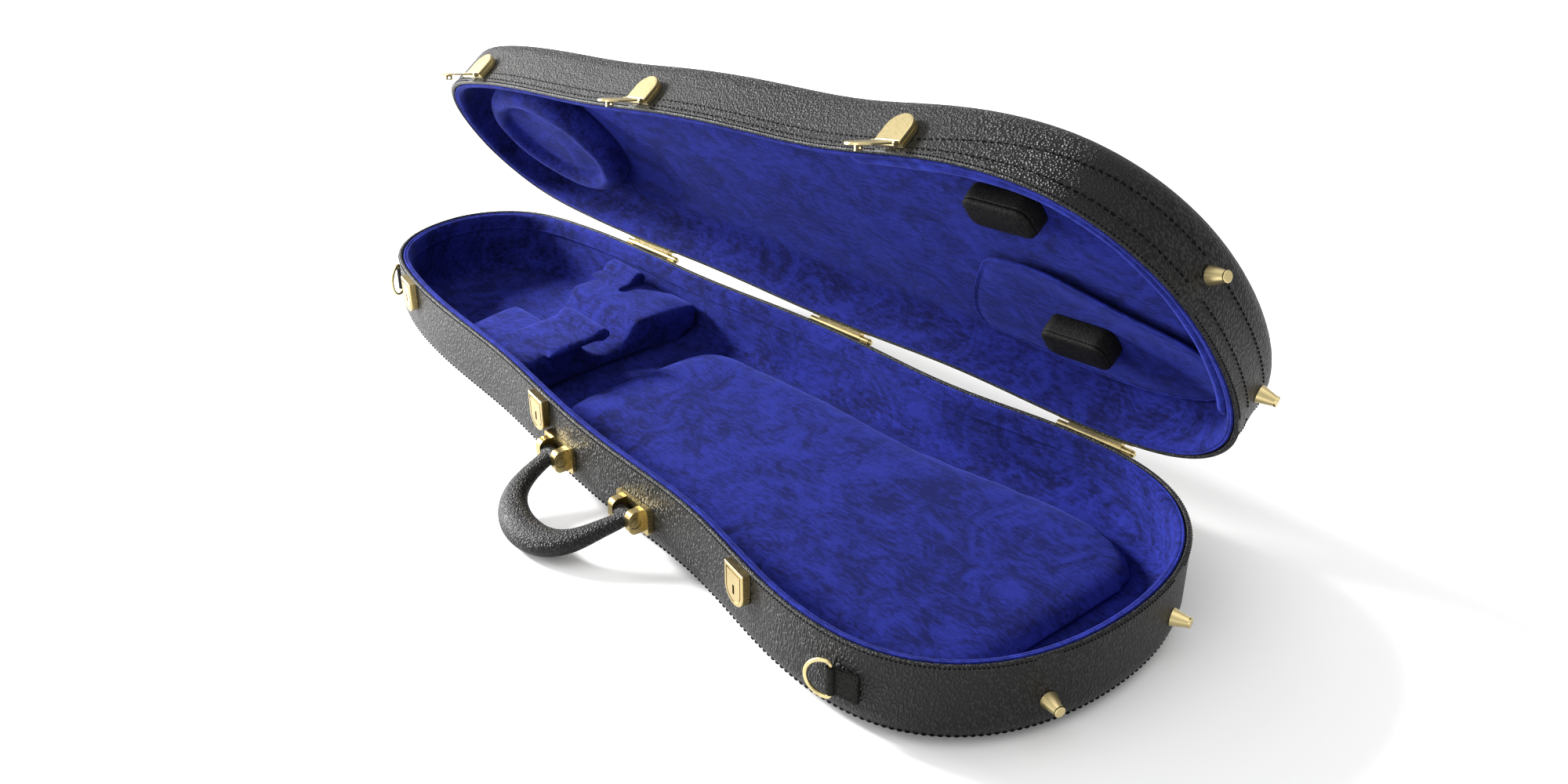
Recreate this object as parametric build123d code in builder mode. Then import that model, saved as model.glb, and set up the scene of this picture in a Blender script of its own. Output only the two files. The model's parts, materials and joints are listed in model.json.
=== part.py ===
"""Shaped violin case with its lid standing open.

Millimetres, +Z up. The base stands on Z = 0, +X runs to the wide end, -Y is the front (latch) side.
Lid pieces are drawn with the lid shut and then swung about the hinge line to the resting angle.
"""
import math
import os
from build123d import *

os.makedirs("parts", exist_ok=True)

# ---------------------------------------------------------------- driving dimensions
RIM = 60.0            # height of the base rim
LID_CREST = 52.0      # height of the lid along its middle, above the rim
LID_CROWN = 6.0       # fall of the lid top from its middle to the widest edge
RIM_GAP = 0.4         # gap between the two rims when shut
WALL = 4.0            # wood shell with its leatherette cover
SKIN = 0.2            # clearance between a shell and its lining
LINING = 5.0          # plush over wadding on the walls
BED = 10.2            # height of the lined floor
LID_CEILING = 35.0    # lined ceiling of the lid, above the rim
BOTTOM_ROUND = 18.0   # rounding of the base under-edge
TOP_ROUND = 15.0      # rounding of the lid upper edge
WELT = 3.0            # height and width of the sewn rim welt

LID_OPEN = 56.5       # opening angle of the lid at rest
HINGE_Y = 120.3       # hinge line: y at x = 0
HINGE_SLOPE = 0.0935  # hinge line: rise of y per mm of x
HINGE_Z = RIM - 2.0
BARREL = 2.7          # hinge barrel radius
HINGE_PIN = 1.3       # hinge pin radius
HINGE_LENGTH = 60.0
END_KNUCKLE = 8.0     # length of each end knuckle
LEAF = 1.5            # hinge leaf thickness
LEAF_HEIGHT = 14.0

HASP_OPEN = 45.0      # swing of each hasp off the case wall at rest
LATCH_WIDTH = 22.0
RECEIVER_DEPTH = 5.5
HASP_AXIS_OUT = 6.2   # hasp hinge line off the wall
HASP_AXIS_Z = RIM + 2.2
HASP_KNUCKLE = 1.9    # radius of the hasp barrel
HASP_PIN = 0.7
STAPLE_REACH = 18.8   # hasp hinge line to the middle of the staple

HANDLE_DROOP = 18.0   # handle angle below level at rest
HANDLE_OUT = 9.5      # handle hinge line off the wall
HANDLE_Z = 27.0
HANDLE_SPAN = 48.0    # middle of the handle to the middle of a bracket
HANDLE_REACH = 54.0
HANDLE_PIN = 2.0
LUG_GAP = 15.0        # between the two lugs of a bracket
LUG = 5.75            # lug thickness

DRING_OUT = 14.0      # swing of each D-ring off the wall at rest
DRING_Z = 31.0
WIRE = 1.3            # D-ring wire radius
LOOP = 2.8            # radius of the leather loop round the bar
LOOP_OUT = 3.1        # loop centre off the wall

FIT = 0.05            # radial running clearance on every pin
STANDOFF = 0.25       # fittings off the curved wall

# one flank of the plan outline, narrow end to wide end
FLANK = [(-380, 0), (-371, 38), (-348, 65), (-300, 83.5), (-215, 95), (-130, 100.5), (-50, 111),
         (10, 117), (70, 119), (125, 121.5), (200, 134.5), (262, 140), (318, 127), (358, 89),
         (376, 42), (380, 0)]

LATCH_X = {"narrow": -290.0, "middle": -57.0, "wide": 196.0}
HINGE_X = {"narrow": -208.0, "middle": 8.0, "wide": 240.0}
DRING_X = {"narrow": -352.0, "wide": 283.0}
FOOT_X = 372.3
HANDLE_X = 20.0

outline = Spline(*FLANK, *[(x, -y) for x, y in FLANK[-2:0:-1]], periodic=True)
hinge_slant = math.degrees(math.atan(HINGE_SLOPE))
along_hinge = Vector(1, 0, 0).rotate(Axis.Z, hinge_slant)
hinge_axis = Axis((0, HINGE_Y, HINGE_Z), along_hinge)


# ---------------------------------------------------------------- helpers
def save(builder, label):
    """Label a finished piece and write it."""
    builder.part.label = label
    export_step(builder.part, f"parts/{label}.step")


def save_open(builder, label):
    """Swing a piece of the lid from shut to its resting angle, then write it."""
    swung = builder.part.rotate(hinge_axis, -LID_OPEN)
    swung.label = label
    export_step(swung, f"parts/{label}.step")


def plan(inset=0.0, stations=44):
    """The case outline as a face, pulled in by inset: one closed curve through offset points."""
    points = []
    for step in range(stations):
        point, tangent = outline @ (step / stations), outline % (step / stations)
        points.append((point.X + inset * tangent.Y, point.Y - inset * tangent.X))
    return Face(Wire([Spline(*points, periodic=True).edge()]))


def flank_at(x):
    """Point and tangent of the +Y flank at a given x."""
    low, high = 0.0, 0.5
    for _ in range(40):
        middle = (low + high) / 2
        if (outline @ middle).X < x:
            low = middle
        else:
            high = middle
    return outline @ low, outline % low


def wall_plane(x, z, out=0.0, side=-1):
    """Plane on the outer wall: local x along the wall, local y up, local z outwards.

    side is -1 on the front wall and +1 on the hinge wall.
    """
    point, tangent = flank_at(x)
    normal = Vector(-tangent.Y, side * tangent.X, 0).normalized()
    origin = Vector(point.X, side * point.Y, z) + normal * out
    along = Vector(-side * tangent.X, -tangent.Y, 0)
    return Plane(origin=origin, x_dir=along, z_dir=normal)


def across(plane):
    """Turn a wall plane to face along the wall: local x outwards, local y up."""
    return Plane(origin=plane.origin, x_dir=plane.z_dir, z_dir=-plane.x_dir)


def hinge_plane(x):
    """Plane square to the hinge line: local x away from the case, local y up."""
    origin = (x, HINGE_Y + HINGE_SLOPE * x, HINGE_Z)
    return Plane(origin=origin, x_dir=along_hinge.rotate(Axis.Z, 90), z_dir=along_hinge)


def d_shape(width, length, inset=0.0):
    """D outline: flat edge on y = 0, round end down, pulled in all round by inset."""
    half, straight = width / 2 - inset, length - width / 2
    corners = [(-half, -inset), (half, -inset), (half, -straight), (-half, -straight)]
    edges = [Edge.make_line(corners[0], corners[1]), Edge.make_line(corners[1], corners[2]),
             Edge.make_three_point_arc(corners[2], (0, -straight - half), corners[3]),
             Edge.make_line(corners[3], corners[0])]
    return Sketch() + Face(Wire(edges))


def domed(face, bottom, crest, rounding):
    """Solid standing on a plan face, with a crowned top and a rounded upper edge."""
    with BuildPart() as dome:
        with BuildSketch(Plane.XY.offset(bottom)):
            add(face)
        extrude(amount=crest - bottom + 1)
        with BuildSketch(Plane.YZ.offset(-400)):
            with Locations((0, crest - CROWN_RADIUS)):
                Circle(CROWN_RADIUS)
        extrude(amount=800, mode=Mode.INTERSECT)
        fillet(dome.faces().sort_by(Axis.Z)[-1].edges(), rounding)
    return dome.part


# ---------------------------------------------------------------- base: shell, welt, lining
CROWN_RADIUS = (140.0 ** 2 + LID_CROWN ** 2) / (2 * LID_CROWN)
LINING_INSET = WALL + SKIN
WELL_INSET = LINING_INSET + LINING
outer_plan, welt_plan, cavity_plan = plan(), plan(WELT), plan(WALL)
lining_plan, well_plan = plan(LINING_INSET), plan(WELL_INSET)
fitting_plan = plan(-STANDOFF)

with BuildPart() as base_cavity:
    with BuildSketch(Plane.XY.offset(WALL)):
        add(cavity_plan)
    extrude(amount=RIM)
    fillet(base_cavity.faces().sort_by(Axis.Z)[0].edges(), BOTTOM_ROUND - WALL)

with BuildPart() as base_shell:
    with BuildSketch():
        add(outer_plan)
    extrude(amount=RIM - WELT)
    fillet(base_shell.faces().sort_by(Axis.Z)[0].edges(), BOTTOM_ROUND)
    add(base_cavity.part, mode=Mode.SUBTRACT)
save(base_shell, "base_shell")

with BuildPart() as base_welt:
    with BuildSketch(Plane.XY.offset(RIM - WELT)):
        add(outer_plan)
        add(welt_plan, mode=Mode.SUBTRACT)
    extrude(amount=WELT)
    fillet(base_welt.faces().sort_by(Axis.Z)[-1].edges(), 1.2)
save(base_welt, "base_welt")

with BuildPart() as base_well:
    with BuildSketch(Plane.XY.offset(BED)):
        add(well_plan)
    extrude(amount=RIM)
    fillet(base_well.faces().sort_by(Axis.Z)[0].edges(), 8)

with BuildPart() as base_lining:
    with BuildSketch(Plane.XY.offset(WALL + SKIN)):
        add(lining_plan)
    extrude(amount=RIM - 1.0 - WALL - SKIN)
    fillet(base_lining.faces().sort_by(Axis.Z)[0].edges(), BOTTOM_ROUND - WALL - SKIN)
    add(base_well.part, mode=Mode.SUBTRACT)
save(base_lining, "base_lining")

# ---------------------------------------------------------------- base: cushion and neck rest
with BuildPart() as body_bed:
    with BuildSketch(Plane.XY.offset(BED + SKIN)) as bed:
        add(plan(27))
        with Locations((115, 0)):
            Rectangle(430, 300, mode=Mode.INTERSECT)
        fillet(bed.vertices(), 30)
    extrude(amount=9)
    fillet(body_bed.faces().sort_by(Axis.Z)[-1].edges(), 4)
save(body_bed, "body_bed")

CRADLE_X, CRADLE_LENGTH, CRADLE_TOP = -178.0, 92.0, RIM - 20
CRADLE_FOOT = 8.0
with BuildPart() as neck_cradle:
    with BuildSketch(Plane.XY.offset(BED + SKIN)):
        with Locations((CRADLE_X, 0)):
            Rectangle(CRADLE_LENGTH, 150)
    extrude(amount=CRADLE_FOOT)
    with BuildSketch(Plane.XY.offset(BED + SKIN + CRADLE_FOOT)):
        add(plan(WELL_INSET + 0.3))
        with Locations((CRADLE_X, 0)):
            Rectangle(CRADLE_LENGTH, 300, mode=Mode.INTERSECT)
    extrude(amount=CRADLE_TOP - BED - SKIN - CRADLE_FOOT)
    with BuildSketch(Plane.YZ.offset(CRADLE_X - CRADLE_LENGTH)):
        with Locations((0, CRADLE_TOP + 14)):
            SlotOverall(72, 50, rotation=90)
    extrude(amount=2 * CRADLE_LENGTH, mode=Mode.SUBTRACT)
save(neck_cradle, "neck_cradle")

with BuildPart() as neck_strap_front:
    with BuildSketch(Plane.YZ.offset(CRADLE_X - 2)):
        with Locations((-60, CRADLE_TOP + 0.3)):
            Rectangle(54, 5, align=Align.MIN)
        with Locations((-9, CRADLE_TOP + 5)):
            Ellipse(7.5, 5.5)
    extrude(amount=55)
save(neck_strap_front, "neck_strap_front")

with BuildPart() as neck_strap_back:
    with BuildSketch(Plane.YZ.offset(CRADLE_X - 50)):
        with Locations((50, CRADLE_TOP + 0.3)):
            Rectangle(24, 5, align=Align.MIN)
        with Locations((71, CRADLE_TOP + 6.5)):
            Ellipse(7.5, 6)
    extrude(amount=42)
save(neck_strap_back, "neck_strap_back")

# ---------------------------------------------------------------- hinges
LEAF_DROP = BARREL + 0.4
for name, x in HINGE_X.items():
    pivot = hinge_plane(x)
    middle = HINGE_LENGTH - 2 * END_KNUCKLE - 0.5
    leaf_place = Location((pivot.origin.X, pivot.origin.Y, 0), (0, 0, hinge_slant))

    with BuildPart() as base_leaf:
        with BuildSketch(Plane.XY.offset(HINGE_Z - LEAF_DROP - LEAF_HEIGHT)):
            add(plan(-STANDOFF - LEAF))
            with Locations(leaf_place):
                Rectangle(HINGE_LENGTH, 30, mode=Mode.INTERSECT)
        extrude(amount=LEAF_HEIGHT)
        for end in (-HINGE_LENGTH / 2, HINGE_LENGTH / 2 - END_KNUCKLE):
            with BuildSketch(pivot.offset(end)):
                Circle(BARREL)
                Rectangle(8, 5, align=Align.MAX)
            extrude(amount=END_KNUCKLE)
        with BuildSketch():
            add(fitting_plan)
        extrude(amount=3 * RIM, mode=Mode.SUBTRACT)
        with BuildSketch(pivot.offset(-HINGE_LENGTH)):
            Circle(HINGE_PIN + FIT)
        extrude(amount=2 * HINGE_LENGTH, mode=Mode.SUBTRACT)
    save(base_leaf, f"hinge_{name}_base_leaf")

    with BuildPart() as lid_leaf:
        with BuildSketch(Plane.XY.offset(HINGE_Z + LEAF_DROP)):
            add(plan(-STANDOFF - LEAF))
            with Locations(leaf_place):
                Rectangle(HINGE_LENGTH, 30, mode=Mode.INTERSECT)
        extrude(amount=LEAF_HEIGHT)
        with BuildSketch(pivot.offset(-middle / 2)):
            Circle(BARREL)
            Rectangle(8, 5, align=(Align.MAX, Align.MIN))
        extrude(amount=middle)
        with BuildSketch():
            add(fitting_plan)
        extrude(amount=3 * RIM, mode=Mode.SUBTRACT)
        with BuildSketch(pivot.offset(-HINGE_LENGTH)):
            Circle(HINGE_PIN + FIT)
        extrude(amount=2 * HINGE_LENGTH, mode=Mode.SUBTRACT)
    save_open(lid_leaf, f"hinge_{name}_lid_leaf")

    with BuildPart() as hinge_pin:
        with BuildSketch(pivot.offset(-HINGE_LENGTH / 2 - 0.4)):
            Circle(HINGE_PIN)
        extrude(amount=HINGE_LENGTH + 1)
        with BuildSketch(pivot.offset(HINGE_LENGTH / 2 + 0.2)):
            Circle(2.3)
        extrude(amount=1.8)
        fillet(hinge_pin.edges().sort_by(Axis(pivot.origin, pivot.z_dir))[-1], 1.2)
    save(hinge_pin, f"hinge_{name}_pin")

# ---------------------------------------------------------------- latches
PLATE_DEPTH, PLATE_Z, PLATE_HEIGHT = 6.0, RIM + 4.4, 21.6
STAPLE = (5.5, 3.8, 1.4)   # length along the hasp, height, thickness
for name, x in LATCH_X.items():
    wall = wall_plane(x, RIM)
    pivot = across(wall_plane(x, HASP_AXIS_Z, HASP_AXIS_OUT))
    outward = Axis(wall.origin, wall.z_dir)
    receiver_face = wall_plane(x, RIM - 1, STANDOFF + RECEIVER_DEPTH)

    with BuildPart() as receiver:
        with BuildSketch(receiver_face):
            add(d_shape(LATCH_WIDTH, 27))
        extrude(amount=-RECEIVER_DEPTH)
        fillet(receiver.faces().sort_by(outward)[-1].edges(), 0.8)
        with BuildSketch(receiver_face):
            add(d_shape(LATCH_WIDTH, 27, 2.2))
            add(d_shape(LATCH_WIDTH, 27, 3.2), mode=Mode.SUBTRACT)
        extrude(amount=-0.8, mode=Mode.SUBTRACT)
        with BuildSketch(wall_plane(x, HASP_AXIS_Z - STAPLE_REACH, STANDOFF + RECEIVER_DEPTH)):
            Rectangle(2.2, STAPLE[0] + 1.3)
        extrude(amount=-3.9, mode=Mode.SUBTRACT)
    save(receiver, f"receiver_{name}")

    with BuildPart() as latch_plate:
        with BuildSketch(wall_plane(x, PLATE_Z, STANDOFF)):
            add(Rot(0, 0, 180) * d_shape(LATCH_WIDTH, PLATE_HEIGHT))
        extrude(amount=PLATE_DEPTH)
        fillet(latch_plate.faces().sort_by(outward)[-1].edges(), 0.8)
        with BuildSketch(wall_plane(x, PLATE_Z, STANDOFF + 2.4)):
            add(Rot(0, 0, 180) * d_shape(LATCH_WIDTH, PLATE_HEIGHT))
            add(Rot(0, 0, 180) * d_shape(LATCH_WIDTH, PLATE_HEIGHT, 0.7), mode=Mode.SUBTRACT)
        extrude(amount=0.6, mode=Mode.SUBTRACT)
        for end in (-10.5, 6.0):
            with BuildSketch(pivot.offset(end)):
                Circle(HASP_KNUCKLE)
                Rectangle(HASP_KNUCKLE, 3.5, align=(Align.MAX, Align.MIN))
            extrude(amount=4.5)
        with BuildSketch(pivot.offset(-15)):
            Circle(HASP_PIN + FIT)
        extrude(amount=30, mode=Mode.SUBTRACT)
    save_open(latch_plate, f"latch_plate_{name}")

    with BuildPart() as hasp_pin:
        with BuildSketch(pivot.offset(-10.5)):
            Circle(HASP_PIN)
        extrude(amount=21)
    save_open(hasp_pin, f"hasp_pin_{name}")

    with BuildPart() as hasp:
        with BuildSketch(wall_plane(x, HASP_AXIS_Z, HASP_AXIS_OUT - 0.1)):
            add(Pos(0, -2.3) * d_shape(20, 24.5))
            Rectangle(11.6, 4, align=(Align.CENTER, Align.MAX))
        extrude(amount=1.5)
        fillet(hasp.faces().sort_by(outward)[-1].edges(), 0.5)
        with BuildSketch(pivot.offset(-5.8)):
            Circle(HASP_KNUCKLE)
        extrude(amount=11.6)
        with BuildSketch(pivot.offset(-STAPLE[2] / 2)):
            with Locations((0, -STAPLE_REACH)):
                Rectangle(STAPLE[1] + 0.1, STAPLE[0], align=(Align.MAX, Align.CENTER))
            with Locations((-STAPLE[1] / 2 - 0.3, -STAPLE_REACH)):
                Circle(1.0, mode=Mode.SUBTRACT)
        extrude(amount=STAPLE[2])
        with BuildSketch(pivot.offset(-15)):
            Circle(HASP_PIN + FIT)
        extrude(amount=30, mode=Mode.SUBTRACT)
    hasp.part = hasp.part.rotate(Axis(pivot.origin, wall.x_dir), -HASP_OPEN)
    save_open(hasp, f"hasp_{name}")

# ---------------------------------------------------------------- handle and its brackets
bracket_points = [wall_plane(HANDLE_X + end * HANDLE_SPAN, HANDLE_Z, HANDLE_OUT).origin
                  for end in (-1, 1)]
handle_line = (bracket_points[1] - bracket_points[0]).normalized()
handle_away = handle_line.rotate(Axis.Z, -90)
handle_middle = (bracket_points[0] + bracket_points[1]) * 0.5
for name, end in (("narrow", -1), ("wide", 1)):
    place = handle_middle + handle_line * (end * HANDLE_SPAN)
    face = Plane(origin=place, x_dir=handle_line, z_dir=handle_away)
    side = Plane(origin=place, x_dir=handle_away, z_dir=-handle_line)
    lug_outside = LUG_GAP / 2 + LUG

    with BuildPart() as bracket:
        with BuildSketch(face.offset(-HANDLE_OUT + 3.8)):
            RectangleRounded(38, 20, 3)
        extrude(amount=-6)
        for start in (-lug_outside, LUG_GAP / 2):
            with BuildSketch(side.offset(start)) as lug:
                with Locations((5, 0)):
                    Rectangle(17, 17, align=(Align.MAX, Align.CENTER))
                fillet(lug.vertices().sort_by(Axis.X)[-2:], 5)
            extrude(amount=LUG)
        for start, depth in ((-lug_outside, 1), (lug_outside, -1)):
            with BuildSketch(side.offset(start)):
                Circle(4.2)
            extrude(amount=depth, mode=Mode.SUBTRACT)
        with BuildSketch(side.offset(-30)):
            Circle(HANDLE_PIN + FIT)
        extrude(amount=60, mode=Mode.SUBTRACT)
        with BuildSketch():
            add(fitting_plan)
        extrude(amount=2 * RIM, mode=Mode.SUBTRACT)
    save(bracket, f"handle_bracket_{name}")

    with BuildPart() as bracket_pin:
        with BuildSketch(side.offset(-lug_outside + 0.1)):
            Circle(HANDLE_PIN)
        extrude(amount=2 * lug_outside - 0.2)
        for start, depth in ((-lug_outside + 0.9, -0.8), (lug_outside - 0.9, 0.8)):
            with BuildSketch(side.offset(start)):
                Circle(3.6)
            extrude(amount=depth)
    save(bracket_pin, f"bracket_pin_{name}")

handle_path = Spline((-HANDLE_SPAN, 0), (-46.5, 14), (-38, 36), (0, HANDLE_REACH), (38, 36),
                     (46.5, 14), (HANDLE_SPAN, 0), tangents=[(0, 1), (0, -1)])
reach = handle_away.rotate(Axis((0, 0, 0), handle_line), HANDLE_DROOP)
handle_plane = Plane(origin=handle_middle, x_dir=handle_line, z_dir=handle_line.cross(reach))
with BuildPart() as handle:
    for step in range(17):
        point, tangent = handle_path @ (step / 16), handle_path % (step / 16)
        swell = math.sin(math.pi * step / 16) ** 2
        section = Plane(origin=handle_plane.from_local_coords(point),
                        x_dir=handle_plane.z_dir,
                        z_dir=handle_plane.from_local_coords(tangent) - handle_plane.origin)
        with BuildSketch(section):
            Ellipse(5 + 4 * swell, 6.4 + 5.6 * swell)
    loft()
    for end in (-1, 1):
        place = handle_middle + handle_line * (end * HANDLE_SPAN - 6.5)
        with BuildSketch(Plane(origin=place, z_dir=handle_line)):
            Circle(5.2)
        extrude(amount=13)
    with BuildSketch(Plane(origin=handle_middle - handle_line * 80, z_dir=handle_line)):
        Circle(HANDLE_PIN + FIT)
    extrude(amount=160, mode=Mode.SUBTRACT)
save(handle, "handle")

# ---------------------------------------------------------------- D-rings and their leather tabs
for name, x in DRING_X.items():
    toward = 1 if name == "narrow" else -1
    wall = wall_plane(x, DRING_Z)
    bar = wall_plane(x, DRING_Z, LOOP_OUT).origin
    wall_angle = math.degrees(math.atan2(wall.x_dir.Y, wall.x_dir.X))

    with BuildPart() as tab:
        with BuildSketch(Plane.XY.offset(DRING_Z - 9.5)):
            add(plan(-STANDOFF - 2.4))
            with Locations(Location((bar.X, bar.Y, 0), (0, 0, wall_angle))):
                Rectangle(18, 20, align=(Align.MAX if toward == 1 else Align.MIN, Align.CENTER),
                          mode=Mode.INTERSECT)
            with Locations((bar.X, bar.Y)):
                Circle(LOOP)
            add(fitting_plan, mode=Mode.SUBTRACT)
            with Locations((bar.X, bar.Y)):
                Circle(WIRE + FIT, mode=Mode.SUBTRACT)
        extrude(amount=19)
    save(tab, f"dring_tab_{name}")

    swing = (wall.x_dir * toward).rotate(Axis.Z, -toward * DRING_OUT)
    ring_plane = Plane(origin=bar, x_dir=swing, z_dir=swing.cross(Vector(0, 0, 1)))
    with BuildPart() as dring:
        with BuildLine(ring_plane):
            Line((0, 0), (0, 10))
            RadiusArc((0, 10), (3, 13), 3)
            ThreePointArc((3, 13), (16, 0), (3, -13))
            RadiusArc((3, -13), (0, -10), 3)
            Line((0, -10), (0, 0))
        with BuildSketch(Plane(origin=bar, z_dir=(0, 0, 1))):
            Circle(WIRE)
        sweep()
    save(dring, f"dring_{name}")

# ---------------------------------------------------------------- feet on the wide end
for level, z in (("base", RIM - 33), ("lid", RIM + 25)):
    for name, side in (("front", -1), ("back", 1)):
        face = wall_plane(FOOT_X, z, STANDOFF, side)
        with BuildPart(face) as foot:
            Cone(5.8, 3.2, 10.5, align=(Align.CENTER, Align.CENTER, Align.MIN))
            with Locations((0, 0, 10.5)):
                Cylinder(3.5, 1.5, align=(Align.CENTER, Align.CENTER, Align.MIN))
            fillet(foot.edges().sort_by(Axis(face.origin, face.z_dir))[-1], 0.6)
        if level == "base":
            save(foot, f"foot_base_{name}")
        else:
            save_open(foot, f"foot_lid_{name}")

# ---------------------------------------------------------------- lid: shell, welt, lining
LID_BOTTOM = RIM + RIM_GAP + WELT
LID_TOP = RIM + LID_CREST
with BuildPart() as lid_shell:
    add(domed(outer_plan, LID_BOTTOM, LID_TOP, TOP_ROUND))
    add(domed(cavity_plan, LID_BOTTOM - 1, LID_TOP - WALL, TOP_ROUND - WALL), mode=Mode.SUBTRACT)
save_open(lid_shell, "lid_shell")

with BuildPart() as lid_welt:
    with BuildSketch(Plane.XY.offset(RIM + RIM_GAP)):
        add(outer_plan)
        add(welt_plan, mode=Mode.SUBTRACT)
    extrude(amount=WELT)
    fillet(lid_welt.faces().sort_by(Axis.Z)[0].edges(), 1.2)
save_open(lid_welt, "lid_welt")

with BuildPart() as lid_well:
    with BuildSketch(Plane.XY.offset(RIM)):
        add(well_plan)
    extrude(amount=LID_CEILING)
    fillet(lid_well.faces().sort_by(Axis.Z)[-1].edges(), 12)

with BuildPart() as lid_lining:
    add(domed(lining_plan, RIM + RIM_GAP + 0.6, LID_TOP - WALL - SKIN, TOP_ROUND - WALL - SKIN))
    add(lid_well.part, mode=Mode.SUBTRACT)
save_open(lid_lining, "lid_lining")

# ---------------------------------------------------------------- lid: pads and pocket panel
CEILING = RIM + LID_CEILING - SKIN
PAD_FACE, PAD_CUP, CUP_RADIUS = RIM + 12, 5.0, 205.0
with BuildPart() as scroll_pad:
    with BuildSketch(Plane.XY.offset(PAD_FACE)):
        with Locations((-280, 0)):
            Ellipse(77, 56)
    extrude(amount=CEILING - PAD_FACE)
    fillet(scroll_pad.faces().sort_by(Axis.Z)[0].edges(), 12)
    with Locations((-280, 0, PAD_FACE + PAD_CUP - CUP_RADIUS)):
        Sphere(CUP_RADIUS, mode=Mode.SUBTRACT)
save_open(scroll_pad, "lid_scroll_pad")

PANEL = [(169, 24), (188, 3), (219, -4), (290, 20), (326, 33), (345, 50), (345, 75), (310, 115),
         (236, 125), (140, 95)]
PANEL_THICK = 3.0
with BuildPart() as panel:
    with BuildSketch(Plane.XY.offset(CEILING - PANEL_THICK)):
        with BuildLine():
            Spline(*PANEL, periodic=True)
        make_face()
        add(plan(WELL_INSET + 13), mode=Mode.INTERSECT)
    extrude(amount=PANEL_THICK)
save_open(panel, "lid_panel")

for name, x, y, low, top in (("front", 231, -62, RIM + 19, CEILING),
                             ("back", 243, 62, RIM + 14, CEILING - PANEL_THICK - SKIN)):
    with BuildPart() as block:
        with BuildSketch(Plane.XY.offset(low)):
            with Locations((x, y)):
                RectangleRounded(52, 26, 9)
        extrude(amount=top - low)
        fillet(block.faces().sort_by(Axis.Z)[0].edges(), 4)
    save_open(block, f"hold_down_{name}")
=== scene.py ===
"""Looks for the shaped violin case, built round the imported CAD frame. Metres, +Z up, rest pose."""
import json
import math
import bmesh
import bpy
import numpy as np
from mathutils import Matrix, Vector, noise


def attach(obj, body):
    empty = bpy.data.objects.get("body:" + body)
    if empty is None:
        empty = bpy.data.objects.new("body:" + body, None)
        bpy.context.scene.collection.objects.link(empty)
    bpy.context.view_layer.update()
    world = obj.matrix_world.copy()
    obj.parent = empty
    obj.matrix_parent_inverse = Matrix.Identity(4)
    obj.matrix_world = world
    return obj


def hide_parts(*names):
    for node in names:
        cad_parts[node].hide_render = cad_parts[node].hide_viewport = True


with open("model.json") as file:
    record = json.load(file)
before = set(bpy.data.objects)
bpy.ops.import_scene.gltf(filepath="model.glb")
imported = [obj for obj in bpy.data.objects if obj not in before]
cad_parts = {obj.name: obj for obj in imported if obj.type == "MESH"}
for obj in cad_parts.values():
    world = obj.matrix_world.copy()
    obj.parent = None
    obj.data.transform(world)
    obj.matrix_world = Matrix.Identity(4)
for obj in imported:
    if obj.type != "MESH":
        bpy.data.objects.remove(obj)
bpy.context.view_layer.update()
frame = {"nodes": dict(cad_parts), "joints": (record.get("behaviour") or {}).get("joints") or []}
MM = 0.001

# ---------------------------------------------------------------- dimensions of the case, in mm
RIM = 60.0                     # height of the parting line between base and lid
CEILING = RIM + 35.0           # underside of the lid's lining, with the lid shut
BED = 10.2                     # top of the base's floor lining
# back half of the outline, from the narrow end to the wide end
FLANK = [(-380, 0), (-371, 38), (-348, 65), (-300, 83.5), (-215, 95), (-130, 100.5), (-50, 111),
         (10, 117), (70, 119), (125, 121.5), (200, 134.5), (262, 140), (318, 127), (358, 89),
         (376, 42), (380, 0)]
LATCH_X = {"narrow": -290.0, "middle": -57.0, "wide": 196.0}
HINGE_X = {"narrow": -208.0, "middle": 8.0, "wide": 240.0}
DRING_X = {"narrow": -352.0, "wide": 283.0}
DRING_Z = 31.0
FOOT_X = 372.3
# how far a fitting hides the wall to either side of its middle
HINGE_REACH, LATCH_REACH, FOOT_REACH = 33, 13.5, 7.5

hinge = next(j for j in frame["joints"] if j["name"] == "lid_hinge")
HINGE_AT, HINGE_AXIS = Vector(hinge["pos_m"]), Vector(hinge["axis"]).normalized()
LID_OPEN = -math.radians(hinge["range_deg"][0])
OPENING = (Matrix.Translation(HINGE_AT) @ Matrix.Rotation(LID_OPEN, 4, HINGE_AXIS)
           @ Matrix.Translation(-HINGE_AT))

# ---------------------------------------------------------------- camera
scene = bpy.context.scene
camera = bpy.data.objects.new("camera", bpy.data.cameras.new("camera"))
scene.collection.objects.link(camera)
scene.camera = camera
camera.data.sensor_width, camera.data.lens = 36.0, 34.73
camera.location = (0.7673, -0.5961, 0.5950)
yaw, pitch = math.radians(139.025), math.radians(29.578)
looking = Vector((math.cos(pitch) * math.cos(yaw), math.cos(pitch) * math.sin(yaw), -math.sin(pitch)))
camera.rotation_mode = "QUATERNION"
camera.rotation_quaternion = looking.to_track_quat("-Z", "Y")
camera.data.clip_start, camera.data.clip_end = 0.01, 50.0


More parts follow.
